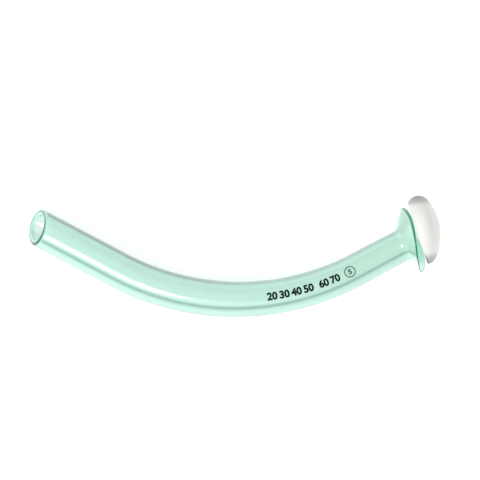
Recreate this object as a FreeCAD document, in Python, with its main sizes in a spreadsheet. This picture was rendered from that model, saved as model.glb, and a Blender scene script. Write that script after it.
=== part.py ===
# Nasopharyngeal airway: a soft curved tube with a bevelled tip and a wavy flared flange,
# and the white domed cap that sits in the mouth of the flange.
# Sizes in millimetres and degrees. The piece is drawn with its bend lying flat, belly
# towards -Y and flange towards +X, and is then turned to lie as it rests on a table.
import FreeCAD, Part
import math
import os
import Sketcher
from FreeCAD import Placement, Rotation, Vector

# Driving sizes: alias, value, what it is
SIZES = [
    ("bore_diameter", 8.0, "inside of the tube, all the way through"),
    ("tip_diameter", 11.3, "outside of the tube, from the tip to where it starts to narrow"),
    ("flange_wall", 0.9, "wall at the flange end, and thickness of the flare"),
    ("tip_straight", 28.6, "straight stretch behind the middle of the bevel"),
    ("bend_radius", 77.4, "radius of the bend, on the centre line"),
    ("tip_bend", 17.85, "turn of the bend before the tube starts to narrow"),
    ("flange_bend", 37.85, "turn of the bend from there to the flange end"),
    ("flange_straight", 14.6, "straight stretch between the bend and the flare"),
    ("bevel_angle", 33.0, "how far the tip is cut from square"),
    ("bevel_turn", 15.0, "how far the cut is rolled from facing straight up"),
    ("tip_flat", 0.15, "flat left between the two rounded edges of the tip"),
    ("rim_diameter", 20.3, "outside of the flange"),
    ("flare_radius", 2.4, "fillet between the tube and the flare"),
    ("flare_angle", 60.0, "slope of the flare, from the axis of the tube"),
    ("rim_lean", 10.0, "how far the rim leans from square to the tube"),
    ("rim_wave", 1.2, "height of the rim's two crests"),
    ("wave_turn", 62.0, "where the first crest is, round the rim"),
    ("cap_overhang", 0.3, "how far the cap's widest part is wider than the rim, each side"),
    ("cap_dome", 5.45, "height of the cap's dome above its widest part"),
    ("cap_seat", 1.75, "depth of its flat underside below its widest part, on its axis"),
    ("cap_edge", 3.6, "rounding of its edge"),
    ("cap_angle", 8.0, "direction of the cap's axis, from the length of the piece"),
    ("cap_shift", 2.3, "how far the cap sits off the middle of the flange"),
    ("cap_gap", 0.05, "clearance between the cap and the flange"),
]

# Sizes that follow from the driving ones: alias, formula, what it is
FOLLOWING = [
    ("cap_hub", "rim_diameter / 2 + cap_overhang - cap_edge", "middle of the cap's edge"),
    ("cap_curve", "(cap_hub ^ 2 + cap_dome ^ 2 - cap_edge ^ 2) / (cap_dome - cap_edge) / 2",
     "radius of the cap's dome, which runs smoothly out of its edge"),
    ("cap_turn", "atan((cap_curve - cap_dome) / cap_hub)", "where the edge becomes the dome"),
    ("narrow_share", "1 / (1 + flange_straight * 180 / pi / flange_bend / bend_radius)",
     "share of the narrowing that the bend has, the rest is on the straight"),
]

NARROW_STEPS = 16       # straight bands of the narrowing wall, round the bend
ROUND_STEPS = 12        # straight bands of the round edge of the cap
DOME_STEPS = 5          # straight bands of the cap's dome
RING_POINTS = 16        # points round each ring of the flare
ARC_RINGS = 5           # rings along each fillet of the flare
LIP_RINGS = 5           # rings round the lip
WAVE_CRESTS = 2         # crests round the rim
JOIN_TOLERANCE = 1e-3   # how near two seams have to be to count as one
SLIDE_STEPS = 40        # most steps that seat the cap
BALANCE_STEPS = 30      # halvings that find the resting place


def make_sheet(doc):
    """Spreadsheet with one row for each size."""
    sheet = doc.addObject("Spreadsheet::Sheet", "sizes")
    following = [(alias, "=" + formula, meaning) for alias, formula, meaning in FOLLOWING]
    for row, (alias, value, meaning) in enumerate(SIZES + following, start=1):
        sheet.set("A%d" % row, alias)
        sheet.set("B%d" % row, str(value))
        sheet.set("C%d" % row, meaning)
        sheet.setAlias("B%d" % row, alias)
    doc.recompute()
    return sheet


def add_sketch(body, name, role):
    """Empty sketch on one of the body's own origin planes."""
    sketch = body.newObject("Sketcher::SketchObject", name)
    plane = [feature for feature in body.Origin.OriginFeatures if feature.Role == role][0]
    sketch.AttachmentSupport = [(plane, "")]
    sketch.MapMode = "FlatFace"
    return sketch


def constrain(sketch, name, formula, *definition):
    """Named constraint whose value comes from the sheet."""
    index = sketch.addConstraint(Sketcher.Constraint(*definition))
    sketch.renameConstraint(index, name)
    sketch.setExpression("Constraints." + name, formula)


def bend_point(radius, angle):
    """Point on the centre line of the bend, at an angle from its lowest point."""
    turn = math.radians(angle)
    return Vector(radius * math.sin(turn), radius * (1 - math.cos(turn)), 0)


def direction(angle):
    """Unit vector in the plane of the bend, at an angle from +X."""
    turn = math.radians(angle)
    return Vector(math.cos(turn), math.sin(turn), 0)


def half_bend(sheet):
    """The bend is symmetric about its lowest point: angle from there to either end."""
    return (sheet.tip_bend + sheet.flange_bend) / 2


HALF_BEND = "(sizes.tip_bend + sizes.flange_bend) / 2"
NARROWING = "(sizes.flange_bend - sizes.tip_bend) / 2"
BEVEL_REACH = "sizes.tip_diameter * tan(sizes.bevel_angle * 1 deg)"


def bevel_reach(sheet):
    """How far the tube is drawn past the middle of the bevel before it is cut."""
    return sheet.tip_diameter * math.tan(math.radians(sheet.bevel_angle))


def draw_centre_line(body, sheet, name, start, end, first, last):
    """Sketch of a stretch of the centre line: bend from start to end, with a straight
    run before it or after it where a length is given. Ends are (angle, formula)."""
    sketch = add_sketch(body, name, "XY_Plane")
    radius = sheet.bend_radius
    arc = 1 if first else 0
    circle = Part.Circle(Vector(0, radius, 0), Vector(0, 0, 1), radius)
    span = [math.radians(angle - 90) for angle in (start[0], end[0])]
    if first:
        outer = bend_point(radius, start[0]) - direction(start[0]) * first[0]
        sketch.addGeometry(Part.LineSegment(outer, bend_point(radius, start[0])), False)
    sketch.addGeometry(Part.ArcOfCircle(circle, span[0], span[1]), False)
    if last:
        outer = bend_point(radius, end[0]) + direction(end[0]) * last[0]
        sketch.addGeometry(Part.LineSegment(bend_point(radius, end[0]), outer), False)
    sketch.addConstraint(Sketcher.Constraint("PointOnObject", arc, 3, -2))
    constrain(sketch, "centre_height", "sizes.bend_radius", "DistanceY", -1, 1, arc, 3, radius)
    constrain(sketch, "bend_size", "sizes.bend_radius", "Radius", arc, radius)
    for vertex, (angle, formula), label in ((1, start, "start_place"), (2, end, "end_place")):
        place = bend_point(radius, angle).x
        across = "sizes.bend_radius * sin((%s) * 1 deg)" % formula
        constrain(sketch, label, across, "DistanceX", -1, 1, arc, vertex, place)
    if first:
        sketch.addConstraint(Sketcher.Constraint("Tangent", 0, 2, arc, 1))
        constrain(sketch, "tip_run", first[1], "Distance", 0, first[0])
    if last:
        sketch.addConstraint(Sketcher.Constraint("Tangent", arc, 2, arc + 1, 1))
        constrain(sketch, "flange_run", last[1], "Distance", arc + 1, last[0])
    return sketch


def draw_ring(body, name, spine, edge, where, formula):
    """Circle square to a centre line, at the start (0) or the end (1) of one of its edges."""
    sketch = body.newObject("Sketcher::SketchObject", name)
    sketch.AttachmentSupport = [(spine, edge)]
    sketch.MapMode = "NormalToEdge"
    sketch.MapPathParameter = where
    sketch.addGeometry(Part.Circle(Vector(0, 0, 0), Vector(0, 0, 1), 1.0), False)
    sketch.addConstraint(Sketcher.Constraint("Coincident", 0, 3, -1, 1))
    constrain(sketch, "size", formula, "Diameter", 0, 2.0)
    return sketch


def sweep(body, kind, name, profile, spine, edges):
    """Profile carried along a centre line."""
    pipe = body.newObject(kind, name)
    pipe.Profile = profile
    pipe.Spine = (spine, edges)
    return pipe


def narrow(doc, body, spine):
    """The wall narrows evenly along its centre line, as bands so short that they meet the
    bend within a hundredth of a millimetre or two."""
    neck_size = "sizes.bore_diameter + 2 * sizes.flange_wall"
    loss = "(sizes.tip_diameter - (%s))" % neck_size
    rings = []
    for number in range(NARROW_STEPS + 1):
        share = number / NARROW_STEPS
        size = "sizes.tip_diameter - %s * sizes.narrow_share * %g" % (loss, share)
        rings.append(draw_ring(body, "ring_%d" % number, spine, "Edge1", share, size))
    rings.append(draw_ring(body, "neck_ring", spine, "Edge2", 1.0, neck_size))
    doc.recompute()
    wall = body.newObject("PartDesign::AdditiveLoft", "narrowing_wall")
    wall.Profile = rings[0]
    wall.Sections = rings[1:]
    wall.Ruled = True
    return wall


def cut_bevel(doc, body, sheet, spine):
    """The tip is cut square to a line that leans from the axis, and faces upwards."""
    cut = draw_ring(body, "bevel_cut", spine, "Edge1", 0.0, "sizes.tip_diameter * 2")
    axis = "vector(-cos(sizes.bevel_turn * 1 deg); sin(sizes.bevel_turn * 1 deg); 0)"
    turn = "rotation(%s; sizes.bevel_angle)" % axis
    back = "vector(0; 0; -%s)" % BEVEL_REACH
    cut.setExpression("AttachmentOffset", "placement(%s; %s)" % (back, turn))
    doc.recompute()
    pocket = body.newObject("PartDesign::Pocket", "bevel")
    pocket.Profile = cut
    pocket.Type = "ThroughAll"
    pocket.Reversed = True
    doc.recompute()
    normal = cut.Placement.Rotation.multVec(Vector(0, 0, 1))
    return pocket, cut.Placement.Base, normal


def round_tip(body, pocket, middle, normal):
    """Both edges of the bevelled end are rounded, so that it slides in gently."""
    names = []
    for number, edge in enumerate(pocket.Shape.Edges, start=1):
        samples = edge.discretize(5)
        if max(abs((point - middle).dot(normal)) for point in samples) < JOIN_TOLERANCE:
            names.append("Edge%d" % number)
    fillet = body.newObject("PartDesign::Fillet", "tip_edges")
    fillet.Base = (pocket, names)
    wall = "(sizes.tip_diameter - sizes.bore_diameter) / 2"
    fillet.setExpression("Radius", "(%s - sizes.tip_flat) / 2" % wall)
    return fillet


def make_tube(doc, sheet):
    """The curved tube: swept wall, swept bore, bevelled and rounded tip."""
    body = doc.addObject("PartDesign::Body", "tube")
    half = half_bend(sheet)
    narrowing = (sheet.flange_bend - sheet.tip_bend) / 2
    tip_end = (-half, "-" + HALF_BEND)
    middle = (-narrowing, "-" + NARROWING)
    flange_end = (half, HALF_BEND)
    tip_run = (sheet.tip_straight + bevel_reach(sheet), "sizes.tip_straight + " + BEVEL_REACH)
    flange_run = (sheet.flange_straight, "sizes.flange_straight")
    front = draw_centre_line(body, sheet, "tip_line", tip_end, middle, tip_run, None)
    rear = draw_centre_line(body, sheet, "flange_line", middle, flange_end, None, flange_run)
    whole = draw_centre_line(body, sheet, "bore_line", tip_end, flange_end, tip_run, flange_run)
    doc.recompute()
    tip = draw_ring(body, "tip_ring", front, "Edge1", 0.0, "sizes.tip_diameter")
    bore = draw_ring(body, "bore_ring", whole, "Edge1", 0.0, "sizes.bore_diameter")
    doc.recompute()
    sweep(body, "PartDesign::AdditivePipe", "even_wall", tip, front, ["Edge1", "Edge2"])
    doc.recompute()
    narrow(doc, body, rear)
    doc.recompute()
    sweep(body, "PartDesign::SubtractivePipe", "bore", bore, whole, ["Edge1", "Edge2", "Edge3"])
    doc.recompute()
    pocket, cut_middle, cut_normal = cut_bevel(doc, body, sheet, front)
    round_tip(body, pocket, cut_middle, cut_normal)
    doc.recompute()
    return body


def flare_outline(sheet):
    """Half section of the flare as stretches of (along, radius) points: outer fillet,
    outer run, the narrow bands of the lip, inner run, inner fillet. The two skins are
    parallel curves."""
    slope = math.radians(sheet.flare_angle)
    wall = sheet.flange_wall
    centre = sheet.bore_diameter / 2 + wall + sheet.flare_radius
    along, out = math.cos(slope), math.sin(slope)
    middle_radius = sheet.flare_radius + wall / 2
    run = (sheet.rim_diameter / 2 - wall / 2 - centre + middle_radius * along) / out
    lip = (middle_radius * out + run * along, centre - middle_radius * along + run * out)

    def fillet(radius):
        turns = [slope * ring / (ARC_RINGS - 1) for ring in range(ARC_RINGS)]
        return [(radius * math.sin(turn), centre - radius * math.cos(turn)) for turn in turns]

    def round_lip():
        turns = [math.pi * ring / (LIP_RINGS - 1) for ring in range(LIP_RINGS)]
        half = wall / 2
        return [(lip[0] + half * (along * math.sin(turn) - out * math.cos(turn)),
                 lip[1] + half * (out * math.sin(turn) + along * math.cos(turn)))
                for turn in turns]

    outer = fillet(sheet.flare_radius)
    inner = fillet(sheet.flare_radius + wall)
    edge = round_lip()
    straights = [outer[-1]] + edge + [inner[-1]]
    stretches = [outer] + list(zip(straights, straights[1:])) + [inner[::-1]]
    return stretches, lip[0]


def flare_ring(sheet, place, radius, depth):
    """Closed ring of the flare. It is pushed along the axis by a lean and by a wave with
    two crests, both growing from nothing at the tube to their full size at the lip."""
    growth = min(1.0, max(0.0, place / depth)) ** 2
    lean = math.tan(math.radians(sheet.rim_lean)) * radius
    points = []
    for number in range(RING_POINTS):
        turn = 2 * math.pi * number / RING_POINTS
        wave = sheet.rim_wave * math.cos(WAVE_CRESTS * (turn - math.radians(sheet.wave_turn)))
        push = growth * (lean * math.cos(turn) + wave)
        points.append(Vector(place + push, radius * math.cos(turn), radius * math.sin(turn)))
    curve = Part.BSplineCurve()
    knots = [float(number) for number in range(RING_POINTS + 1)]
    curve.interpolate(Points=points, PeriodicFlag=True, Parameters=knots)
    return Part.Wire([curve.toShape()])


def flange_place(sheet):
    """Placement of the flare: its own +X runs along the tube, from the end of the tube."""
    half = half_bend(sheet)
    end = bend_point(sheet.bend_radius, half) + direction(half) * sheet.flange_straight
    return Placement(end, Rotation(Vector(0, 0, 1), half))


def make_flare(doc, sheet):
    """The flared flange with its wavy lip: lofts between closed rings, sewn to the flat
    ring where the flare meets the tube."""
    stretches, depth = flare_outline(sheet)
    faces = []
    for stretch in stretches:
        rings = [flare_ring(sheet, place, radius, depth) for place, radius in stretch]
        faces += Part.makeLoft(rings, False, False, False, 3).Faces
    seat = [flare_ring(sheet, *stretches[index][index], depth) for index in (0, -1)]
    faces.append(Part.makeFace(seat, "Part::FaceMakerBullseye"))
    skin = Part.Compound(faces)
    skin.sewShape(JOIN_TOLERANCE)
    solid = Part.Solid(skin.Shells[0])
    solid.fix(JOIN_TOLERANCE, JOIN_TOLERANCE, JOIN_TOLERANCE)
    flare = doc.addObject("Part::Feature", "flare")
    flare.Shape = solid
    flare.Placement = flange_place(sheet)
    return flare


def make_airway(doc, tube, flare):
    """Tube and flare are one moulding."""
    airway = doc.addObject("Part::Feature", "airway")
    airway.Label = "airway"
    airway.Shape = tube.Shape.fuse([flare.Shape], JOIN_TOLERANCE)
    return airway


def arc_points(middle, radius, start, end, bands):
    """Points along an arc of the cap's section, each with its place and its formulas. The
    middle is two (formula, value) pairs, and so are the radius and the two angles."""
    points = []
    for number in range(bands + 1):
        share = number / bands
        turn = math.radians(start[1] + (end[1] - start[1]) * share)
        angle = "(%s + (%s - %s) * %.6f)" % (start[0], end[0], start[0], share)
        place = Vector(middle[0][1] + radius[1] * math.cos(turn),
                       middle[1][1] + radius[1] * math.sin(turn), 0)
        across = "%s + %s * cos(%s)" % (middle[0][0], radius[0], angle)
        up = "%s + %s * sin(%s)" % (middle[1][0], radius[0], angle)
        points.append((place, across, up))
    return points


def draw_cap_section(body, sheet):
    """Half section of the cap before its underside is cut: flat, edge, dome and axis."""
    sketch = add_sketch(body, "cap_section", "XZ_Plane")
    low = ("(-90 deg)", -90.0)
    turn = ("sizes.cap_turn", sheet.cap_turn.Value)
    high = ("(90 deg)", 90.0)
    hub = ("sizes.cap_hub", sheet.cap_hub)
    edge = ("sizes.cap_edge", sheet.cap_edge)
    curve = ("sizes.cap_curve", sheet.cap_curve)
    depth = ("(sizes.cap_dome - sizes.cap_curve)", sheet.cap_dome - sheet.cap_curve)
    points = arc_points((hub, ("0", 0.0)), edge, low, turn, ROUND_STEPS)
    points += arc_points((("0", 0.0), depth), curve, turn, high, DOME_STEPS)[1:-1]
    foot = Vector(0, -sheet.cap_edge, 0)
    top = Vector(0, sheet.cap_dome, 0)
    corners = [foot] + [place for place, across, up in points] + [top]
    last = len(corners) - 1
    for start, end in zip(corners, corners[1:] + corners[:1]):
        sketch.addGeometry(Part.LineSegment(start, end), False)
    for line in range(last + 1):
        follower = (line + 1) % (last + 1)
        sketch.addConstraint(Sketcher.Constraint("Coincident", line, 2, follower, 1))
    sketch.addConstraint(Sketcher.Constraint("PointOnObject", 0, 1, -2))
    sketch.addConstraint(Sketcher.Constraint("PointOnObject", last, 1, -2))
    constrain(sketch, "foot", "sizes.cap_edge", "DistanceY", 0, 1, -1, 1, sheet.cap_edge)
    constrain(sketch, "top", "sizes.cap_dome", "DistanceY", -1, 1, last, 1, sheet.cap_dome)
    for line, (place, across, up) in enumerate(points, start=1):
        constrain(sketch, "across_%d" % line, across, "DistanceX", -1, 1, line, 1, place.x)
        constrain(sketch, "up_%d" % line, up, "DistanceY", -1, 1, line, 1, place.y)
    return sketch


def make_cap(doc, sheet):
    """The domed cap. Its own +Z is the axis of the dome, with the widest part at zero, and
    its underside is cut flat, in line with the leaning rim that it rests on."""
    cap = doc.addObject("PartDesign::Body", "flange_cap")
    cap.Label = "flange_cap"
    section = draw_cap_section(cap, sheet)
    doc.recompute()
    turned = cap.newObject("PartDesign::Revolution", "cap_turned")
    turned.Profile = section
    turned.ReferenceAxis = (section, ["V_Axis"])
    turned.Angle = 360.0
    doc.recompute()
    cut = add_sketch(cap, "underside_cut", "XY_Plane")
    cut.addGeometry(Part.Circle(Vector(0, 0, 0), Vector(0, 0, 1), 1.0), False)
    cut.addConstraint(Sketcher.Constraint("Coincident", 0, 3, -1, 1))
    constrain(cut, "size", "sizes.rim_diameter * 2", "Diameter", 0, 2.0)
    lean = HALF_BEND + " - sizes.rim_lean - sizes.cap_angle"
    place = "placement(vector(0; 0; -sizes.cap_seat); rotation(vector(0; 1; 0); %s))" % lean
    cut.setExpression("AttachmentOffset", place)
    doc.recompute()
    underside = cap.newObject("PartDesign::Pocket", "underside")
    underside.Profile = cut
    underside.Type = "ThroughAll"
    doc.recompute()
    return cap


def rim_middle(sheet):
    """Middle of the rim, in the plane of the bend."""
    stretches, depth = flare_outline(sheet)
    return flange_place(sheet).multVec(Vector(depth, 0, 0))


def seat_cap(sheet, cap, airway):
    """The cap comes down along its own axis until it almost touches the flange. Each step
    is the gap that is left, which can't carry it into the flange."""
    along = direction(sheet.cap_angle)
    across = direction(sheet.cap_angle).cross(Vector(0, 0, -1))
    turn = Rotation(across, Vector(0, 0, 1), along, "ZXY")
    place = rim_middle(sheet) + across * sheet.cap_shift + along * sheet.rim_diameter
    for step in range(SLIDE_STEPS):
        cap.Placement = Placement(place, turn)
        gap = cap.Shape.distToShape(airway.Shape)[0] - sheet.cap_gap
        if gap < JOIN_TOLERANCE:
            break
        place = place - along * gap
    return cap.Placement


def rest_turn(sheet, weight_centre):
    """Turn that lays the piece down. It rests on the rim of its flange and on one place of
    its bend, and the weight is above the line between them. The place on the bend is
    found by halving, and the lean that puts both on the table follows from it."""
    half = half_bend(sheet)
    narrowing = (sheet.flange_bend - sheet.tip_bend) / 2
    wide = sheet.tip_diameter / 2
    neck = sheet.bore_diameter / 2 + sheet.flange_wall
    run = math.radians(sheet.flange_bend) * sheet.bend_radius + sheet.flange_straight
    rim = rim_middle(sheet)
    rim_axis = direction(half - sheet.rim_lean)
    rim_radius = sheet.rim_diameter / 2

    def tube_radius(angle):
        past = max(0.0, math.radians(angle + narrowing) * sheet.bend_radius)
        return wide + (neck - wide) * min(1.0, past / run)

    def lay(angle):
        """Up direction, and the two contact places, when the bend rests at this angle."""
        place = bend_point(sheet.bend_radius, angle)
        inward = direction(angle + 90)
        lean = 0.0
        for step in range(BALANCE_STEPS):
            up = inward * math.sin(lean) + Vector(0, 0, math.cos(lean))
            drop = rim_radius * math.sqrt(1 - rim_axis.dot(up) ** 2)
            lean = math.asin((drop - tube_radius(angle)) / (rim - place).dot(inward))
        low = up - rim_axis * rim_axis.dot(up)
        return up, place - up * tube_radius(angle), rim - low.normalize() * rim_radius

    low_angle, high_angle = -half, half
    for step in range(BALANCE_STEPS):
        angle = (low_angle + high_angle) / 2
        up, bend_contact, rim_contact = lay(angle)
        side = (rim_contact - bend_contact).cross(weight_centre - bend_contact).dot(up)
        if side > 0:
            low_angle, high_angle = low_angle, angle
        else:
            low_angle, high_angle = angle, high_angle
    return Rotation(up, Vector(0, 0, 1))


def lay_down(sheet, pieces):
    """Turns all pieces together to their rest, with the middle of their footprint at the
    origin and their lowest point at zero."""
    volumes = [piece.Shape.Volume for piece in pieces]
    centre = Vector(0, 0, 0)
    for piece, volume in zip(pieces, volumes):
        centre = centre + piece.Shape.CenterOfGravity * (volume / sum(volumes))
    turn = Placement(Vector(0, 0, 0), rest_turn(sheet, centre))
    shapes = [piece.Shape.copy() for piece in pieces]
    whole = Part.Compound(shapes)
    whole.Placement = turn
    box = whole.optimalBoundingBox(False)
    lift = Vector(-box.Center.x, -box.Center.y, -box.ZMin)
    rest = Placement(lift, Rotation()).multiply(turn)
    for piece in pieces:
        piece.Placement = rest.multiply(piece.Placement)
    return rest


def check(doc, pieces):
    """Stops if any object failed, or if a piece has no sound solid."""
    for item in doc.Objects:
        bad = [word for word in item.State if word in ("Invalid", "Error")]
        if bad:
            raise RuntimeError("%s is %s" % (item.Name, bad))
    for piece in pieces:
        shape = piece.Shape
        if shape.isNull() or not shape.isValid() or len(shape.Solids) != 1:
            raise RuntimeError("%s has no sound solid" % piece.Label)


def main():
    doc = FreeCAD.newDocument("airway")
    sheet = make_sheet(doc)
    tube = make_tube(doc, sheet)
    flare = make_flare(doc, sheet)
    airway = make_airway(doc, tube, flare)
    cap = make_cap(doc, sheet)
    seat_cap(sheet, cap, airway)
    rest = lay_down(sheet, [airway, cap])
    doc.recompute()
    check(doc, [airway, cap])
    print("rest placement", rest)
    os.makedirs("parts", exist_ok=True)
    for piece in (airway, cap):
        piece.Shape.exportStep("parts/%s.step" % piece.Label)
        box = piece.Shape.optimalBoundingBox(False)
        print(piece.Label, round(piece.Shape.Volume, 2), box)


main()
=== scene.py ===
# %% [markdown]
# # A soft nasal airway on a white table
#
# A soft green tube is one long surface: an outer skin, a lip, an inner skin and a
# second lip. This lesson works that surface out as arrays, bends it along its centre
# line, and then gives it a partly clear plastic, printed numbers, a white cap and light.

import bmesh
import bpy
import numpy as np
from mathutils import Matrix, Vector


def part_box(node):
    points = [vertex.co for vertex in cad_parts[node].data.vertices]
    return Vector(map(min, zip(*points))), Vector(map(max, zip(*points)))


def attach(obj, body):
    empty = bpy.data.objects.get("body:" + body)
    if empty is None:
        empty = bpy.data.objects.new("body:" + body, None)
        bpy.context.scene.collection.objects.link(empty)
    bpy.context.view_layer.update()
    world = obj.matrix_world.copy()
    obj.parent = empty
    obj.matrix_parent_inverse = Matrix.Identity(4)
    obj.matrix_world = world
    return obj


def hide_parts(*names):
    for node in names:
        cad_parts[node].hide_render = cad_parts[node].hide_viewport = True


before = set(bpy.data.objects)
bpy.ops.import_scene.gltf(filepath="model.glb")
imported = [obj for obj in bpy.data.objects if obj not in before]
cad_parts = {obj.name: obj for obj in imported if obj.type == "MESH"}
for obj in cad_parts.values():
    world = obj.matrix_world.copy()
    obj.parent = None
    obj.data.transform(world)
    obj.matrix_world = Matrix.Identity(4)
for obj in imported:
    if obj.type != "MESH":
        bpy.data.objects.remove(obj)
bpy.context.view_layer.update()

# %% [markdown]
# ## Sizes
#
# Everything follows from a few sizes of the real piece, in metres and radians. The tube
# has a straight tip, one even bend and a short straight end that opens into the flange.

# %% Sizes of the tube and its flange
BORE = 0.0080
TIP_OUTSIDE = 0.0113
FLANGE_WALL = 0.0009
NECK_OUTSIDE = BORE + 2 * FLANGE_WALL
BEND_RADIUS = 0.0774
TIP_STRAIGHT = 0.0286
FLANGE_STRAIGHT = 0.0146
TIP_BEND = np.radians(17.85)
FLANGE_BEND = np.radians(37.85)
BEND = TIP_BEND + FLANGE_BEND
NARROWS_AT = TIP_STRAIGHT + BEND_RADIUS * TIP_BEND
TUBE_LENGTH = TIP_STRAIGHT + BEND_RADIUS * BEND + FLANGE_STRAIGHT
BEVEL = np.radians(33.0)
BEVEL_TURN = np.radians(15.0)
TIP_LIP = 0.0008
BEVEL_REACH = 0.020
RIM_OUTSIDE = 0.0203
FLARE_RADIUS = 0.0024
FLARE_SLOPE = np.radians(60.0)
RIM_LEAN = np.radians(10.0)
RIM_WAVE = 0.0012
WAVE_TURN = np.radians(62.0)
print("length on the centre line", TUBE_LENGTH)

# How finely the surfaces are worked out, with closer rings up to NEAR_TIP
TUBE_TURNS = 160
CAP_TURNS = 112
NEAR_TIP = 0.012
NEAR_TIP_RINGS = 24
TUBE_RINGS = 150
TIP_STEPS = 20
FILLET_STEPS = 22
SLOPE_STEPS = 16
LIP_STEPS = 18

# %% [markdown]
# ## How the piece lies
#
# The airway lies on the underside of its bend, and its cap all but touches the table,
# so the plane of the bend leans a little. One turn and one shift take the tube's own
# frame to the table.

# %% Lying down
LEAN = np.radians(6.070)
LEAN_TOWARDS = np.radians(67.92)


def lean_matrix():
    """Turn about a level axis that brings the leaned upright back to +Z."""
    axis = Vector((np.sin(LEAN_TOWARDS), -np.cos(LEAN_TOWARDS), 0.0))
    return np.array(Matrix.Rotation(LEAN, 3, axis))


def lean(points):
    """Each point times the lean matrix."""
    return points @ lean_matrix().T


def middle(corners):
    """Middle of a box given by its two corners."""
    return (np.array(corners[0]) + np.array(corners[1])) / 2


# %% [markdown]
# ## The centre line
#
# A place on the airway has three numbers: how far it is along the centre line, how far
# out from it, and the angle round it. The centre line turns those into space. Angle 0
# faces the inside of the bend, and a quarter turn faces up.


# %% From along, out and round to space
def centre_line(along):
    """Point and inward direction at a distance along the centre line from the tip.
    The turn grows evenly over the bend and is constant on both straights, so the point
    is the bend's circle at that turn plus what is left of the straight."""
    turn = np.clip((along - TIP_STRAIGHT) / BEND_RADIUS, 0.0, BEND) - BEND / 2
    over = np.maximum(along - (TUBE_LENGTH - FLANGE_STRAIGHT), 0.0)
    under = np.minimum(along - TIP_STRAIGHT, 0.0)
    x = BEND_RADIUS * np.sin(turn) + (over + under) * np.cos(turn)
    y = BEND_RADIUS * (1 - np.cos(turn)) + (over + under) * np.sin(turn)
    point = np.stack([x, y, np.zeros_like(x)], axis=-1)
    inward = np.stack([-np.sin(turn), np.cos(turn), np.zeros_like(x)], axis=-1)
    return point, inward


def circle_angles(turns):
    """Evenly spaced angles once round, without the last one that meets the first."""
    return np.linspace(0.0, 2 * np.pi, turns, endpoint=False)


def place_on_tube(along, out, around):
    """Centre line point, plus out times the direction at that angle: cosine inward and
    sine upward."""
    point, inward = centre_line(along)
    upward = np.array([0.0, 0.0, 1.0])
    side = np.cos(around)[..., None] * inward + np.sin(around)[..., None] * upward
    return point + out[..., None] * side


def outside_radius(along):
    """Even at the tip, then narrowing in a straight line to the neck of the flange."""
    share = np.clip((along - NARROWS_AT) / (TUBE_LENGTH - NARROWS_AT), 0.0, 1.0)
    return TIP_OUTSIDE / 2 + share * (NECK_OUTSIDE - TIP_OUTSIDE) / 2


# %% [markdown]
# ## The skin of the airway
#
# The real piece looks like one moulding, so it is one closed surface. Its wall thins
# towards the flange and is even in the flare. The profile is walked once: out along the
# tube, up the flare, round the lip, back down the inside and round the tip. Carried
# round the centre line it closes on itself.


# %% Profile of the flare and the lip
def flare_profile():
    """Along and out of the flare, from the neck round the lip and back to the bore: two
    parallel fillets, two parallel slopes and half a circle between them."""
    half_wall = FLANGE_WALL / 2
    centre = NECK_OUTSIDE / 2 + FLARE_RADIUS
    run_x, run_r = np.cos(FLARE_SLOPE), np.sin(FLARE_SLOPE)
    mean = FLARE_RADIUS + half_wall
    run = (RIM_OUTSIDE / 2 - half_wall - centre + mean * run_x) / run_r
    turn = np.linspace(0.0, FLARE_SLOPE, FILLET_STEPS)
    step = np.linspace(0.0, run, SLOPE_STEPS)
    lip_turn = np.linspace(0.0, np.pi, LIP_STEPS)
    lip_x = mean * run_r + run_x * run
    lip_r = centre - mean * run_x + run_r * run

    def fillet(radius):
        return np.stack([radius * np.sin(turn), centre - radius * np.cos(turn)])

    def slope(start):
        return start[:, None] + np.array([[run_x], [run_r]]) * step

    outer = fillet(FLARE_RADIUS)
    inner = fillet(FLARE_RADIUS + FLANGE_WALL)
    lip = np.stack([
        lip_x + half_wall * (run_x * np.sin(lip_turn) - run_r * np.cos(lip_turn)),
        lip_r + half_wall * (run_r * np.sin(lip_turn) + run_x * np.cos(lip_turn)),
    ])
    stretches = [outer, slope(outer[:, -1])[:, 1:], lip[:, 1:],
                 slope(inner[:, -1])[:, ::-1][:, 1:], inner[:, ::-1][:, 1:]]
    return np.concatenate(stretches, axis=1), lip_x


def skin_profile():
    """Along and out of the whole closed walk, and the depth of the flare."""
    flare, depth = flare_profile()
    outward = np.concatenate([np.linspace(TIP_LIP, NEAR_TIP, NEAR_TIP_RINGS)[:-1],
                              np.linspace(NEAR_TIP, TUBE_LENGTH, TUBE_RINGS)[:-1]])
    outer = np.stack([outward, outside_radius(outward)])
    back = outward[::-1]
    bore = np.stack([back, np.full_like(back, BORE / 2)])
    turn = np.linspace(0.0, np.pi, TIP_STEPS)[1:-1]
    mean = (TIP_OUTSIDE + BORE) / 4
    half = (TIP_OUTSIDE - BORE) / 4
    tip = np.stack([TIP_LIP * (1 - np.sin(turn)), mean - half * np.cos(turn)])
    flare[0] += TUBE_LENGTH
    return np.concatenate([outer, flare, bore, tip], axis=1), depth


# %% Skin
def airway_points():
    """The walk carried round the centre line. At the tip each ring is sheared to the
    bevel, and in the flare it is pushed along by a lean and by a wave with two crests,
    both growing with the square of the depth."""
    (along, out), depth = skin_profile()
    around = circle_angles(TUBE_TURNS)
    along, out = along[:, None], out[:, None]
    near_tip = np.clip(1 - along / BEVEL_REACH, 0.0, 1.0)
    bevel = np.cos(BEVEL_TURN) * np.sin(around) - np.sin(BEVEL_TURN) * np.cos(around)
    growth = np.clip((along - TUBE_LENGTH) / depth, 0.0, 1.0) ** 2
    wave = RIM_WAVE * np.cos(2 * (around - WAVE_TURN))
    push = growth * (wave + np.tan(RIM_LEAN) * out * np.cos(around))
    place = along + near_tip * np.tan(BEVEL) * out * bevel + push
    return place_on_tube(place, out + 0 * around, around + 0 * along)


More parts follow.
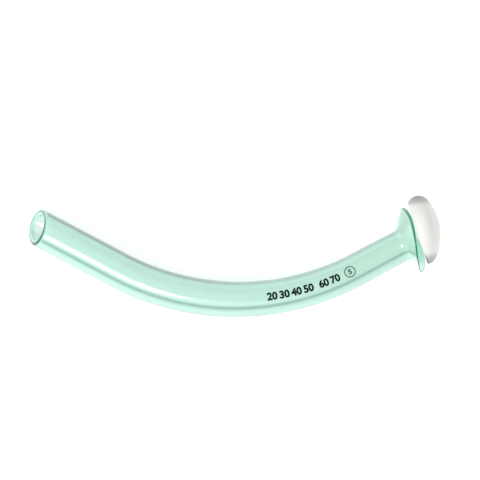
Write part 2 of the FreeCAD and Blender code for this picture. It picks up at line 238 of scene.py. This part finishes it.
def grid_faces(rows, columns):
    """Four corners of each cell of a grid that closes on itself both ways."""
    number = np.arange(rows * columns).reshape(rows, columns)
    right = np.roll(number, -1, axis=1)
    down = np.roll(number, -1, axis=0)
    corner = np.roll(right, -1, axis=0)
    return np.stack([number, right, corner, down], axis=-1).reshape(-1, 4)


def make_piece(name, points, faces):
    """Smooth mesh object from a table of points and a table of faces."""
    mesh = bpy.data.meshes.new(name)
    mesh.from_pydata(points.reshape(-1, 3).tolist(), [], faces)
    mesh.polygons.foreach_set("use_smooth", np.ones(len(mesh.polygons), dtype=bool))
    mesh.update()
    piece = bpy.data.objects.new(name, mesh)
    bpy.context.scene.collection.objects.link(piece)
    print(name, len(mesh.polygons), "faces")
    return piece


def mark(piece, name, values):
    """Number for each point of a piece, which its material can read by name."""
    layer = piece.data.attributes.new(name, "FLOAT", "POINT")
    layer.data.foreach_set("value", np.asarray(values, dtype=np.float32).ravel())


# The middle of the skin's box goes to the middle of the solid's box, and points that
# would still stand out of that box are held on its sides.
skin = lean(airway_points())
corners = [skin.reshape(-1, 3).min(axis=0), skin.reshape(-1, 3).max(axis=0)]
SHIFT = middle(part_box("airway")) - middle(corners)
inside_box = np.clip(skin + SHIFT, *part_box("airway"))
airway = make_piece("airway_skin", inside_box, grid_faces(*skin.shape[:2]).tolist())

# %% [markdown]
# ## Marks on the skin
#
# The photograph shows thin dark lines at the cut tip and at the rim. In this scene they
# are tints and not bent light, so each point of the skin is given numbers that its
# material reads: where it is, and how much it belongs to each line. Widths are in metres.

# %% Marks
RIM_LINE = 0.00016
RIM_LINE_OUTSIDE = 0.0002
RIM_LINE_END = 0.0014
RIM_LINE_EDGE = 0.0001
CUT_FADE = TIP_LIP * 0.8
CUT_LINE_OUT = 0.00015
CUT_LINE_TURN = 0.0002
CUT_LINE_EDGE = 0.0002
MOUTH_FADE = 0.002


def held(values):
    """Values kept between 0 and 1."""
    return np.clip(values, 0.0, 1.0)


def skin_marks():
    """The cosine of the angle round the tube, the share of the length, and masks. A mask
    is a height over the width of its soft edge, held between 0 and 1: the line on the
    rim by how far out it is, the cut tip by how near the end, the line round the cut by
    its distance from a line near the middle of the wall, and the bore and the flange's
    mouth by their place on the walk."""
    (along, out), _ = skin_profile()
    around = circle_angles(TUBE_TURNS)
    inward, upward = np.cos(around), np.sin(around)
    along, out = along[:, None], out[:, None]
    rim_width = RIM_LINE + RIM_LINE_OUTSIDE * held(-inward)
    rim_width = rim_width + RIM_LINE_END * held(-inward - 0.8)
    lip = held((out - RIM_OUTSIDE / 2 + rim_width) / RIM_LINE_EDGE)
    tip = held(1.6 - along / CUT_FADE)
    line_out = (TIP_OUTSIDE + BORE) / 4 + CUT_LINE_OUT - CUT_LINE_TURN * inward
    cut_line = tip * held(2.5 - np.abs(out - line_out) / CUT_LINE_EDGE)
    inside = np.arange(along.size)[:, None] > np.argmax(out)
    inside = inside * (along > TIP_LIP)
    marks = {
        "inward": inward,
        "length": along / TUBE_LENGTH,
        "lip": lip * held(1.05 - 0.3 * inward),
        "tip": tip,
        "inside": inside,
        "mouth": inside * held((along - TUBE_LENGTH) / MOUTH_FADE),
        "cut_line": cut_line * held(0.85 + 0.25 * upward - 0.45 * inward),
    }
    shape = (along.size, TUBE_TURNS)
    return {name: np.broadcast_to(values, shape) for name, values in marks.items()}


for mark_name, mark_values in skin_marks().items():
    mark(airway, mark_name, mark_values)

# %% [markdown]
# ## The cap
#
# A white domed cap rests on the rim. Its section is a tight arc at the edge that runs
# smoothly into a flatter arc over the top. The underside is flat and leans with the rim,
# so the height at which the edge meets it changes round the cap. The underside is a hair
# shallower than in the solids, so that the smooth cap and the smooth rim stay apart.

# %% Sizes of the cap
CAP_OVERHANG = 0.0003
CAP_OUTSIDE = RIM_OUTSIDE + 2 * CAP_OVERHANG
CAP_DOME = 0.00545
CAP_SEAT = 0.00160
CAP_EDGE = 0.0036
CAP_ANGLE = np.radians(8.0)
CAP_LEAN = BEND / 2 - RIM_LEAN - CAP_ANGLE
CAP_SOFT = 0.0005
CAP_HUB = CAP_OUTSIDE / 2 - CAP_EDGE
CAP_CURVE = (CAP_HUB**2 + CAP_DOME**2 - CAP_EDGE**2) / (CAP_DOME - CAP_EDGE) / 2
CAP_TURN = np.arctan2(CAP_CURVE - CAP_DOME, CAP_HUB)
CAP_AXIS = np.array([np.cos(CAP_ANGLE), np.sin(CAP_ANGLE), 0.0])
CAP_ACROSS = np.array([-np.sin(CAP_ANGLE), np.cos(CAP_ANGLE), 0.0])
CAP_RINGS = {"flat": 12, "corner": 8, "edge": 32, "dome": 26}
CAP_SHADE = 0.0012


# %% Cap
def cap_side(around):
    """Out and along of the edge arc, from the leaning underside up to the dome. The arc
    hub + edge cos a, edge sin a meets the plane -seat - slope * out at the angle that
    solves one sine, because a sum of a sine and a cosine is one shifted sine."""
    slope = np.tan(CAP_LEAN) * np.cos(around)
    reach = (CAP_SEAT + slope * CAP_HUB) / (CAP_EDGE * np.hypot(1.0, slope))
    start = -np.arctan(slope) - np.arcsin(reach) + CAP_SOFT / CAP_EDGE
    share = np.linspace(0.0, 1.0, CAP_RINGS["edge"])[:, None]
    turn = start + (CAP_TURN - start) * share
    return CAP_HUB + CAP_EDGE * np.cos(turn), CAP_EDGE * np.sin(turn), start


def cap_profile(around):
    """Out and along of each ring, from the middle of the underside over the soft corner
    and the edge to the top. The corner is the curve (1-t)^2 A + 2t(1-t) B + t^2 C."""
    side_out, side_along, start = cap_side(around)
    corner_turn = start - CAP_SOFT / CAP_EDGE
    corner = CAP_HUB + CAP_EDGE * np.cos(corner_turn)
    slope = np.tan(CAP_LEAN) * np.cos(around)
    flat = (corner - CAP_SOFT) * np.linspace(0.05, 1.0, CAP_RINGS["flat"])[:, None]
    t = np.linspace(0.0, 1.0, CAP_RINGS["corner"])[1:-1, None]
    a, b, c = (1 - t) ** 2, 2 * t * (1 - t), t**2
    soft = a * flat[-1] + b * corner + c * side_out[0]
    under = -CAP_SEAT - slope * flat
    soft_up = a * under[-1] + b * (-CAP_SEAT - slope * corner) + c * side_along[0]
    dome = np.linspace(CAP_TURN, np.pi / 2, CAP_RINGS["dome"])[1:-1, None] + 0 * around
    out = np.concatenate([flat, soft, side_out, CAP_CURVE * np.cos(dome)])
    along = np.concatenate([under, soft_up, side_along,
                            CAP_DOME - CAP_CURVE + CAP_CURVE * np.sin(dome)])
    return out, along


def cap_points():
    """The rings round the cap's axis, and the two poles."""
    around = circle_angles(CAP_TURNS)
    out, along = cap_profile(around)
    upward = np.array([0, 0, 1.0])
    ring = np.cos(around)[:, None] * CAP_ACROSS + np.sin(around)[:, None] * upward
    rings = along[..., None] * CAP_AXIS + out[..., None] * ring
    poles = np.stack([-CAP_SEAT * CAP_AXIS, CAP_DOME * CAP_AXIS])
    return rings, poles


def cap_faces(rows, columns):
    """Cells between the rings, and a fan to each pole."""
    number = np.arange(rows * columns).reshape(rows, columns)
    right = np.roll(number, -1, axis=1)
    cells = np.stack([number[:-1], right[:-1], right[1:], number[1:]], axis=-1)
    low, high = np.full(columns, rows * columns), np.full(columns, rows * columns + 1)
    fans = [np.stack([right[0], number[0], low], axis=-1),
            np.stack([number[-1], right[-1], high], axis=-1)]
    return cells.reshape(-1, 4).tolist() + np.concatenate(fans).tolist()


def painted_shade_marks(rings, poles):
    """Where painted shade goes on the cap: how near each point is to the two ends that the
    photograph shows grey, as its share of the half width across, or its place on the
    corner on the outside of the bend, where the cap turns away from the flange."""
    points = np.concatenate([rings.reshape(-1, 3), poles])
    end = np.abs(points @ CAP_ACROSS) / (CAP_OUTSIDE / 2)
    around = circle_angles(CAP_TURNS)
    out, along = cap_profile(around)
    rise = along + CAP_SEAT + np.tan(CAP_LEAN) * np.cos(around) * out
    corner = held(1.4 - rise / CAP_SHADE) * held(-1.5 * np.cos(around) - 0.3)
    return np.maximum(end, np.append(corner.ravel(), [0.0, 0.0]))


def make_cap():
    """The cap, moved so that its box has the middle of the CAD cap's box."""
    rings, poles = cap_points()
    points = lean(np.concatenate([rings.reshape(-1, 3), poles]))
    box = [points.min(axis=0), points.max(axis=0)]
    points = points + middle(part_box("flange_cap")) - middle(box)
    points = np.clip(points, *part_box("flange_cap"))
    piece = make_piece("cap_dome", points, cap_faces(*rings.shape[:2]))
    # painted shade on the cap's ends and on its corner by the flange
    mark(piece, "end", painted_shade_marks(rings, poles))
    return piece


cap = make_cap()

# %% [markdown]
# ## Printed numbers
#
# Flat figures are cut into short strips and wrapped round the tube, a hair above its
# skin. They are plain numbers, with a ringed one at the end.

# %% Print
PRINT_LIFT = 0.00004
PRINT_HEIGHT = 0.0025
PRINT_TURN = np.radians(88.6)
STRIP_LENGTH = 0.0006
STRIPS_UP = 8
STROKE_WIDENING = 0.045
WORD_GAP = 0.7


def flat_figures(body):
    """Mesh of a line of figures in the plane, with its box from 0 to 1 both ways."""
    curve = bpy.data.curves.new("figures", "FONT")
    curve.body = body
    curve.offset = STROKE_WIDENING
    curve.space_word = WORD_GAP
    curve.resolution_u = 4
    holder = bpy.data.objects.new("figures", curve)
    bpy.context.scene.collection.objects.link(holder)
    bpy.context.view_layer.update()
    mesh = bpy.data.meshes.new_from_object(holder)
    bpy.data.objects.remove(holder)
    flat = np.empty(len(mesh.vertices) * 3)
    mesh.vertices.foreach_get("co", flat)
    flat = flat.reshape(-1, 3)
    low, high = flat.min(axis=0), flat.max(axis=0)
    flat = (flat - low) / np.where(high > low, high - low, 1.0)
    mesh.vertices.foreach_set("co", flat.ravel())
    return mesh


def flat_ring(thick=0.09, turns=48):
    """Ring in the same square from 0 to 1, as two circles of points joined by cells."""
    around = circle_angles(turns)
    circle = np.stack([np.cos(around), np.sin(around), 0 * around], axis=-1)
    points = np.concatenate([0.5 + 0.5 * circle, 0.5 + (0.5 - thick) * circle])
    points[:, 2] = 0.0
    here = np.arange(turns)
    there = (here + 1) % turns
    cells = np.stack([here, there, there + turns, here + turns], axis=-1)
    mesh = bpy.data.meshes.new("ring")
    mesh.from_pydata(points.tolist(), [], cells.tolist())
    return mesh


def cut_in_strips(mesh, across, up):
    """Cuts along evenly spaced lines both ways, so that the figures can be bent."""
    work = bmesh.new()
    work.from_mesh(mesh)
    for axis, count in ((0, across), (1, up)):
        normal = [float(k == axis) for k in range(3)]
        for number in range(1, count):
            place = [number / count * side for side in normal]
            parts = work.verts[:] + work.edges[:] + work.faces[:]
            bmesh.ops.bisect_plane(work, geom=parts, plane_co=place, plane_no=normal)
    work.to_mesh(mesh)
    work.free()


def wrap(name, mesh, start, end, low=-0.5, high=0.5):
    """Lays the unit square on the tube, from start to end along it and from low to high
    heights across it. Angle is arc over radius."""
    cut_in_strips(mesh, max(2, round((end - start) / STRIP_LENGTH)), STRIPS_UP)
    flat = np.empty(len(mesh.vertices) * 3)
    mesh.vertices.foreach_get("co", flat)
    flat = flat.reshape(-1, 3)
    along = start + (end - start) * flat[:, 0]
    out = outside_radius(along) + PRINT_LIFT
    arc = (low + (high - low) * flat[:, 1]) * PRINT_HEIGHT
    points = lean(place_on_tube(along, out, PRINT_TURN - arc / out)) + SHIFT
    mesh.vertices.foreach_set("co", points.ravel())
    mesh.update()
    figure = bpy.data.objects.new(name, mesh)
    bpy.context.scene.collection.objects.link(figure)
    return figure


print_marks = [
    wrap("size_figures", flat_figures("20 30 40 50"), 0.0756, 0.0900),
    wrap("more_figures", flat_figures("60 70"), 0.0917, 0.0984),
    wrap("ring_round_figure", flat_ring(), 0.1000, 0.1035, -0.7, 0.7),
    wrap("ringed_figure", flat_figures("5"), 0.1012, 0.1023, -0.33, 0.33),
]

# %% [markdown]
# ## Wiring of materials
#
# Every material here is a chain of a few kinds of node. A small class gives each kind a
# short word, so that a material can be read as a recipe.


# %% Wiring
def new_material(name):
    """Material with its nodes, and its Principled shader."""
    material = bpy.data.materials.new(name)
    material.use_nodes = True
    return material, material.node_tree.nodes["Principled BSDF"]


def set_up(shader, **settings):
    """Plain numbers on the shader's own sockets, named with _ for each space."""
    for name, value in settings.items():
        shader.inputs[name.replace("_", " ")].default_value = value


class Wiring:
    """Short words for the few kinds of node that the materials are made of."""

    def __init__(self, material):
        self.nodes, self.links = material.node_tree.nodes, material.node_tree.links

    def put(self, socket, value):
        """Links a socket, or sets a number or a colour. A vector takes the first three
        numbers of a colour."""
        if isinstance(value, bpy.types.NodeSocket):
            self.links.new(value, socket)
        elif isinstance(value, float):
            socket.default_value = value
        else:
            socket.default_value = value[:len(socket.default_value)]

    def read(self, name):
        """The number that was marked on the points under this name."""
        node = self.nodes.new("ShaderNodeAttribute")
        node.attribute_name = name
        return node.outputs["Fac"]

    def graze(self):
        """0 where the surface is seen square, towards 1 at its outline."""
        node = self.nodes.new("ShaderNodeLayerWeight")
        node.inputs["Blend"].default_value = 0.5
        return node.outputs["Facing"]

    def math(self, operation, *values):
        """The operation on numbers, sockets or both."""
        node = self.nodes.new("ShaderNodeMath")
        node.operation = operation
        for socket, value in zip(node.inputs, values):
            self.put(socket, value)
        return node.outputs[0]

    def times(self, first, *others):
        """Product of two or more numbers."""
        for other in others:
            first = self.math("MULTIPLY", first, other)
        return first

    def ramp(self, value, stops):
        """Number that follows (place, number) stops along the value."""
        node = self.nodes.new("ShaderNodeFloatCurve")
        curve = node.mapping.curves[0]
        for point, (place, number) in zip((curve.points[0], curve.points[-1]),
                                          (stops[0], stops[-1])):
            point.location = (place, number)
        for place, number in stops[1:-1]:
            curve.points.new(place, number)
        for point in curve.points:
            point.handle_type = "AUTO_CLAMPED"
        node.mapping.update()
        self.put(node.inputs["Value"], value)
        return node.outputs[0]

    def blend(self, share, first, second):
        """First colour where the share is 0, second where it is 1."""
        node = self.nodes.new("ShaderNodeMix")
        node.data_type = "RGBA"
        self.put(node.inputs["Factor"], share)
        self.put(node.inputs["A"], first)
        self.put(node.inputs["B"], second)
        return node.outputs["Result"]


# %% [markdown]
# ## One grain for every finish
#
# No real surface is perfectly even. One node group makes a fine cloud of noise, and every
# material uses it at a scale of its own, for a slightly uneven tone and a slightly uneven
# normal.


# %% Grain
def grain_group():
    """The tone is 1 + unevenness (noise - 1/2), and the normal is a bump of the noise."""
    group = bpy.data.node_groups.new("fine_grain", "ShaderNodeTree")
    sides = group.interface
    for name, value in (("Scale", 400.0), ("Unevenness", 0.05), ("Depth", 0.00001)):
        socket = sides.new_socket(name, in_out="INPUT", socket_type="NodeSocketFloat")
        socket.default_value = value
    sides.new_socket("Tone", in_out="OUTPUT", socket_type="NodeSocketFloat")
    sides.new_socket("Normal", in_out="OUTPUT", socket_type="NodeSocketVector")
    nodes, links = group.nodes, group.links
    given, result = nodes.new("NodeGroupInput"), nodes.new("NodeGroupOutput")
    place, noise = nodes.new("ShaderNodeTexCoord"), nodes.new("ShaderNodeTexNoise")
    low, tone = nodes.new("ShaderNodeMath"), nodes.new("ShaderNodeMath")
    bump = nodes.new("ShaderNodeBump")
    noise.inputs["Detail"].default_value = 3.0
    low.operation, low.inputs[1].default_value = "SUBTRACT", 0.5
    tone.operation, tone.inputs[2].default_value = "MULTIPLY_ADD", 1.0
    for start, end in (
        (place.outputs["Object"], noise.inputs["Vector"]),
        (given.outputs["Scale"], noise.inputs["Scale"]),
        (noise.outputs["Fac"], low.inputs[0]),
        (low.outputs[0], tone.inputs[0]),
        (given.outputs["Unevenness"], tone.inputs[1]),
        (noise.outputs["Fac"], bump.inputs["Height"]),
        (given.outputs["Depth"], bump.inputs["Distance"]),
        (tone.outputs[0], result.inputs["Tone"]),
        (bump.outputs["Normal"], result.inputs["Normal"]),
    ):
        links.new(start, end)
    return group


GRAIN = grain_group()


def add_grain(wire, shader, color, scale, unevenness, depth):
    """Color times the grain's tone goes to the shader, and so does the grain's normal."""
    node = wire.nodes.new("ShaderNodeGroup")
    node.node_tree = GRAIN
    for name, value in (("Scale", scale), ("Unevenness", unevenness), ("Depth", depth)):
        node.inputs[name].default_value = value
    toned = wire.nodes.new("ShaderNodeVectorMath")
    toned.operation = "SCALE"
    wire.put(toned.inputs[0], color)
    wire.put(toned.inputs["Scale"], node.outputs["Tone"])
    wire.put(shader.inputs["Base Color"], toned.outputs[0])
    wire.put(shader.inputs["Normal"], node.outputs["Normal"])
    return toned.outputs[0]


# %% [markdown]
# ## Soft clear green
#
# The tube is partly clear. Its tint is laid on in turns, each over the last: a fill that
# changes along the tube, painted highlight strips, a painted dark line below the middle,
# painted shade towards both outlines, painted light on the shaded insides, and teal lines
# on the cut tip and the rim, painted in place of light bent in the wall seen end on. The
# tints depend on how the wall is seen and on where on the tube it lies. They were placed
# for the camera below. A little light of its own, a painted glow, stands in for light
# scattered inside the plastic, and lifts the shade in the flange's mouth.

# %% Tints
# Most of these tints are painted light and shade: pale highlight bands, a dark line, shade
# towards the outlines, light on shaded insides, and teal lines for light bent in the wall
# seen end on
FILL_LEFT = (0.50, 0.74, 0.67, 1.0)
FILL_RIGHT = (0.47, 0.69, 0.585, 1.0)
PAINTED_LIGHT_TINT = (0.58, 0.85, 0.76, 1.0)
PAINTED_EDGE_SHADE = (0.24, 0.31, 0.29, 1.0)
PAINTED_DARK_LINE = (0.25, 0.42, 0.355, 1.0)
TEAL = (0.01, 0.15, 0.105, 1.0)
DARK_TEAL = (0.0, 0.09, 0.068, 1.0)
CUT_PALE = (0.50, 0.80, 0.72, 1.0)
PAINTED_LIGHT_INSIDE = (0.72, 0.82, 0.79, 1.0)


# %% Green plastic
def soft_green():
    """Partly clear plastic with the tints laid on in turns, most of them painted highlight
    and painted shade. Outward is 1 on the outside of the bend, and graze is 0 where the
    wall is seen square."""
    material, shader = new_material("soft_clear_green")
    wire = Wiring(material)
    ramp, times, read = wire.ramp, wire.times, wire.read
    graze, inward, length = wire.graze(), read("inward"), read("length")
    outward = times(inward, -1.0)
    to_the_right = ramp(length, [(0.0, 0.0), (0.45, 0.3), (1.0, 1.0)])
    fade = ramp(length, [(0.0, 1.0), (0.35, 0.9), (0.6, 0.55), (1.0, 0.45)])
    ahead = ramp(length, [(0.0, 1.0), (0.55, 1.0), (0.85, 0.0), (1.0, 0.0)])
    upper = ramp(inward, [(0.0, 0.0), (0.3, 0.1), (0.5, 1.0), (1.0, 1.0)])
    dark = ramp(graze, [(0.0, 0.0), (0.3, 0.0), (0.4, 0.6), (0.5, 1.0), (0.66, 0.8),
                        (0.88, 0.3), (1.0, 0.2)])
    light = ramp(graze, [(0.0, 0.0), (0.08, 0.0), (0.2, 0.8), (0.28, 1.0), (0.36, 0.0),
                         (1.0, 0.0)])
    painted_light_strip = ramp(outward, [(0.0, 0.0), (0.1, 0.0), (0.24, 0.7), (0.32, 0.7), (0.4, 0.0),
                           (1.0, 0.0)])
    below = ramp(outward, [(0.0, 0.0), (0.36, 0.0), (0.51, 1.0), (0.6, 0.25), (1.0, 0.0)])
    under = ramp(outward, [(0.0, 0.0), (0.56, 0.0), (0.66, 0.9), (0.9, 0.9), (1.0, 0.4)])
    foot = ramp(outward, [(0.0, 0.0), (0.7, 0.0), (0.85, 1.0), (1.0, 1.0)])
    outline = ramp(graze, [(0.0, 0.0), (0.55, 0.0), (0.75, 0.6), (1.0, 0.7)])
    cut_line = ramp(read("cut_line"), [(0.0, 0.0), (0.1, 0.0), (0.6, 1.0), (1.0, 1.0)])
    color = wire.blend(to_the_right, FILL_LEFT, FILL_RIGHT)
    for share, tint in (
        # painted highlight: pale bands on the upper side, along the strip and under the
        # dark line
        (times(light, upper, 0.7), PAINTED_LIGHT_TINT),
        (times(painted_light_strip, ahead), PAINTED_LIGHT_TINT),
        (times(under, 0.8), PAINTED_LIGHT_TINT),
        # painted shade: a dark line below the middle
        (times(below, 0.85), PAINTED_DARK_LINE),
        # painted shade towards the lower and the upper outline
        (times(foot, outline), PAINTED_EDGE_SHADE),
        (times(dark, fade, upper), PAINTED_EDGE_SHADE),
        # painted light on the bore and in the flange's mouth, lifting their shade
        (read("inside"), PAINTED_LIGHT_INSIDE),
        (read("mouth"), PAINTED_LIGHT_TINT),
        (read("tip"), CUT_PALE),
        # teal lines painted in place of light bent in the wall seen end on
        (cut_line, DARK_TEAL),
        (read("lip"), TEAL),
    ):
        color = wire.blend(share, color, tint)
    color = add_grain(wire, shader, color, scale=260.0, unevenness=0.06, depth=0.000004)
    set_up(shader, Roughness=0.12, IOR=1.2, Transmission_Weight=0.35, Coat_Weight=1.0,
           Coat_IOR=1.5, Coat_Roughness=0.15)
    # painted glow: light of its own for light scattered in the plastic, more in the
    # flange's mouth to lift its shade
    wire.put(shader.inputs["Emission Color"], color)
    wire.put(shader.inputs["Emission Strength"],
             wire.math("MULTIPLY_ADD", read("mouth"), 0.2, 0.15))
    return material


# %% [markdown]
# ## White cap and ink
#
# The cap is smooth white plastic with painted light towards its outline and painted shade
# on its two ends where they are seen at a low angle. The print is dull ink, in a paler
# colour for the ring and its figure.

# %% White plastic and ink
# Painted light towards the cap's outline and painted shade on its ends
CAP_WHITE = (0.84, 0.86, 0.80, 1.0)
CAP_PAINTED_RIM_LIGHT = (1.0, 1.0, 0.97, 1.0)
CAP_PAINTED_SHADE = (0.21, 0.22, 0.22, 1.0)
DARK_INK = (0.006, 0.018, 0.013, 1.0)
THIN_INK = (0.05, 0.13, 0.10, 1.0)


def smooth_white():
    """White plastic with painted light towards its outline and painted shade on its ends
    where they are seen at a low angle.
    """
    material, shader = new_material("smooth_white")
    wire = Wiring(material)
    graze = wire.graze()
    # painted light towards the outline
    edge = wire.ramp(graze, [(0.0, 0.0), (0.3, 0.1), (0.7, 0.7), (1.0, 1.0)])
    turned = wire.ramp(graze, [(0.0, 0.0), (0.15, 0.0), (0.5, 1.0), (1.0, 1.0)])
    # painted shade on the ends, only where they are seen at a low angle
    end = wire.ramp(wire.read("end"), [(0.0, 0.0), (0.6, 0.0), (0.8, 0.5), (1.0, 1.0)])
    color = wire.blend(edge, CAP_WHITE, CAP_PAINTED_RIM_LIGHT)
    color = wire.blend(wire.times(end, turned), color, CAP_PAINTED_SHADE)
    add_grain(wire, shader, color, scale=900.0, unevenness=0.04, depth=0.00001)
    set_up(shader, Roughness=0.45)
    return material


def ink(name, color):
    """Flat print with no shine."""
    material, shader = new_material(name)
    add_grain(Wiring(material), shader, color, scale=3000.0, unevenness=0.5, depth=0.00001)
    set_up(shader, Roughness=0.9, Specular_IOR_Level=0.1)
    return material


airway.data.materials.append(soft_green())
cap.data.materials.append(smooth_white())
dark_ink, thin_ink = ink("dark_ink", DARK_INK), ink("thin_ink", THIN_INK)
for figure, print_ink in zip(print_marks, (dark_ink, dark_ink, thin_ink, thin_ink)):
    figure.data.materials.append(print_ink)

# %% [markdown]
# ## What stands for what
#
# The skin and the cap take the place of the two solids. The print has no solid of its
# own, and rides along with the tube.

# %% Pieces and their bodies
for piece, node, finish in ((airway, "airway", "green_tube"),
                            (cap, "flange_cap", "white_cap")):
    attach(piece, "root")
    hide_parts(node)
for figure in print_marks:
    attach(figure, "root")

# %% [markdown]
# ## Table and light
#
# The table is nearly white. It also glows for the camera, so that it looks pure white
# where the soft shadow ends.


# %% White table
TABLE_HALF = 3.0
TABLE_WHITE = (0.9, 0.9, 0.9, 1.0)
TABLE_GLOW = 0.4


def white_table():
    """Large plane at the foot of the piece. It glows for rays that come from the camera,
    from a reflection or through the plastic."""
    mesh = bpy.data.meshes.new("table_top")
    half = TABLE_HALF
    mesh.from_pydata([(-half, -half, 0), (half, -half, 0), (half, half, 0),
                      (-half, half, 0)], [], [(0, 1, 2, 3)])
    table = bpy.data.objects.new("table_top", mesh)
    bpy.context.scene.collection.objects.link(table)
    material, shader = new_material("table_white")
    wire = Wiring(material)
    add_grain(wire, shader, TABLE_WHITE, scale=60.0, unevenness=0.02, depth=0.00002)
    set_up(shader, Roughness=0.9, Specular_IOR_Level=0.0, Emission_Color=(1, 1, 1, 1))
    path = wire.nodes.new("ShaderNodeLightPath")
    seen = path.outputs["Is Camera Ray"]
    for kind in ("Is Glossy Ray", "Is Transmission Ray"):
        seen = wire.math("MAXIMUM", seen, path.outputs[kind])
    wire.put(shader.inputs["Emission Strength"], wire.times(seen, TABLE_GLOW))
    table.data.materials.append(material)


white_table()


# %% Light
def soft_world(overhead, level):
    """Bright overhead and darker towards the level, which draws the edges of the tube."""
    world = bpy.data.worlds.new("studio")
    bpy.context.scene.world = world
    world.use_nodes = True
    nodes, links = world.node_tree.nodes, world.node_tree.links
    place = nodes.new("ShaderNodeTexCoord")
    parts = nodes.new("ShaderNodeSeparateXYZ")
    height = nodes.new("ShaderNodeMapRange")
    height.inputs["To Min"].default_value = level
    height.inputs["To Max"].default_value = overhead
    links.new(place.outputs["Generated"], parts.inputs["Vector"])
    links.new(parts.outputs["Z"], height.inputs["Value"])
    links.new(height.outputs["Result"], nodes["Background"].inputs["Strength"])
    nodes["Background"].inputs["Color"].default_value = (1, 1, 1, 1)


def soft_box(name, place, aim, size, power):
    """Oblong lamp at a place, facing its aim."""
    lamp = bpy.data.lights.new(name, "AREA")
    lamp.shape = "RECTANGLE"
    lamp.size, lamp.size_y = size
    lamp.energy = power
    box = bpy.data.objects.new(name, lamp)
    box.location = place
    ahead = Vector(aim) - Vector(place)
    box.rotation_euler = ahead.to_track_quat("-Z", "Y").to_euler()
    bpy.context.scene.collection.objects.link(box)


soft_world(overhead=1.02, level=0.3)
soft_box("left_box", place=(-0.27, -0.30, 0.58), aim=(-0.03, 0.0, 0.0),
         size=(0.20, 0.24), power=2.3)

# %% [markdown]
# ## Camera
#
# A long lens looks almost straight down at the lying tube, in a square picture.

# %% Camera
CAMERA_PLACE = Vector((0.03556, -0.08275, 0.7015))
CAMERA_AIM = Vector((0.00222, 0.00538, 0.0060))
CAMERA_RIGHT = Vector((1.0, -0.00195, 0.0))
FRAME_PIXELS = 480
FOCAL_PIXELS = 2310
SENSOR = 36.0


def make_camera():
    """Looks from its place to its aim, with the length of the piece level."""
    lens = bpy.data.cameras.new("camera")
    lens.sensor_width = SENSOR
    lens.lens = SENSOR * FOCAL_PIXELS / FRAME_PIXELS
    camera = bpy.data.objects.new("camera", lens)
    bpy.context.scene.collection.objects.link(camera)
    back = (CAMERA_PLACE - CAMERA_AIM).normalized()
    right = (CAMERA_RIGHT - back * CAMERA_RIGHT.dot(back)).normalized()
    up = back.cross(right)
    turn = Matrix((right, up, back)).transposed().to_4x4()
    camera.matrix_world = Matrix.Translation(CAMERA_PLACE) @ turn
    bpy.context.scene.camera = camera


make_camera()
bpy.context.scene.view_settings.view_transform = "Standard"
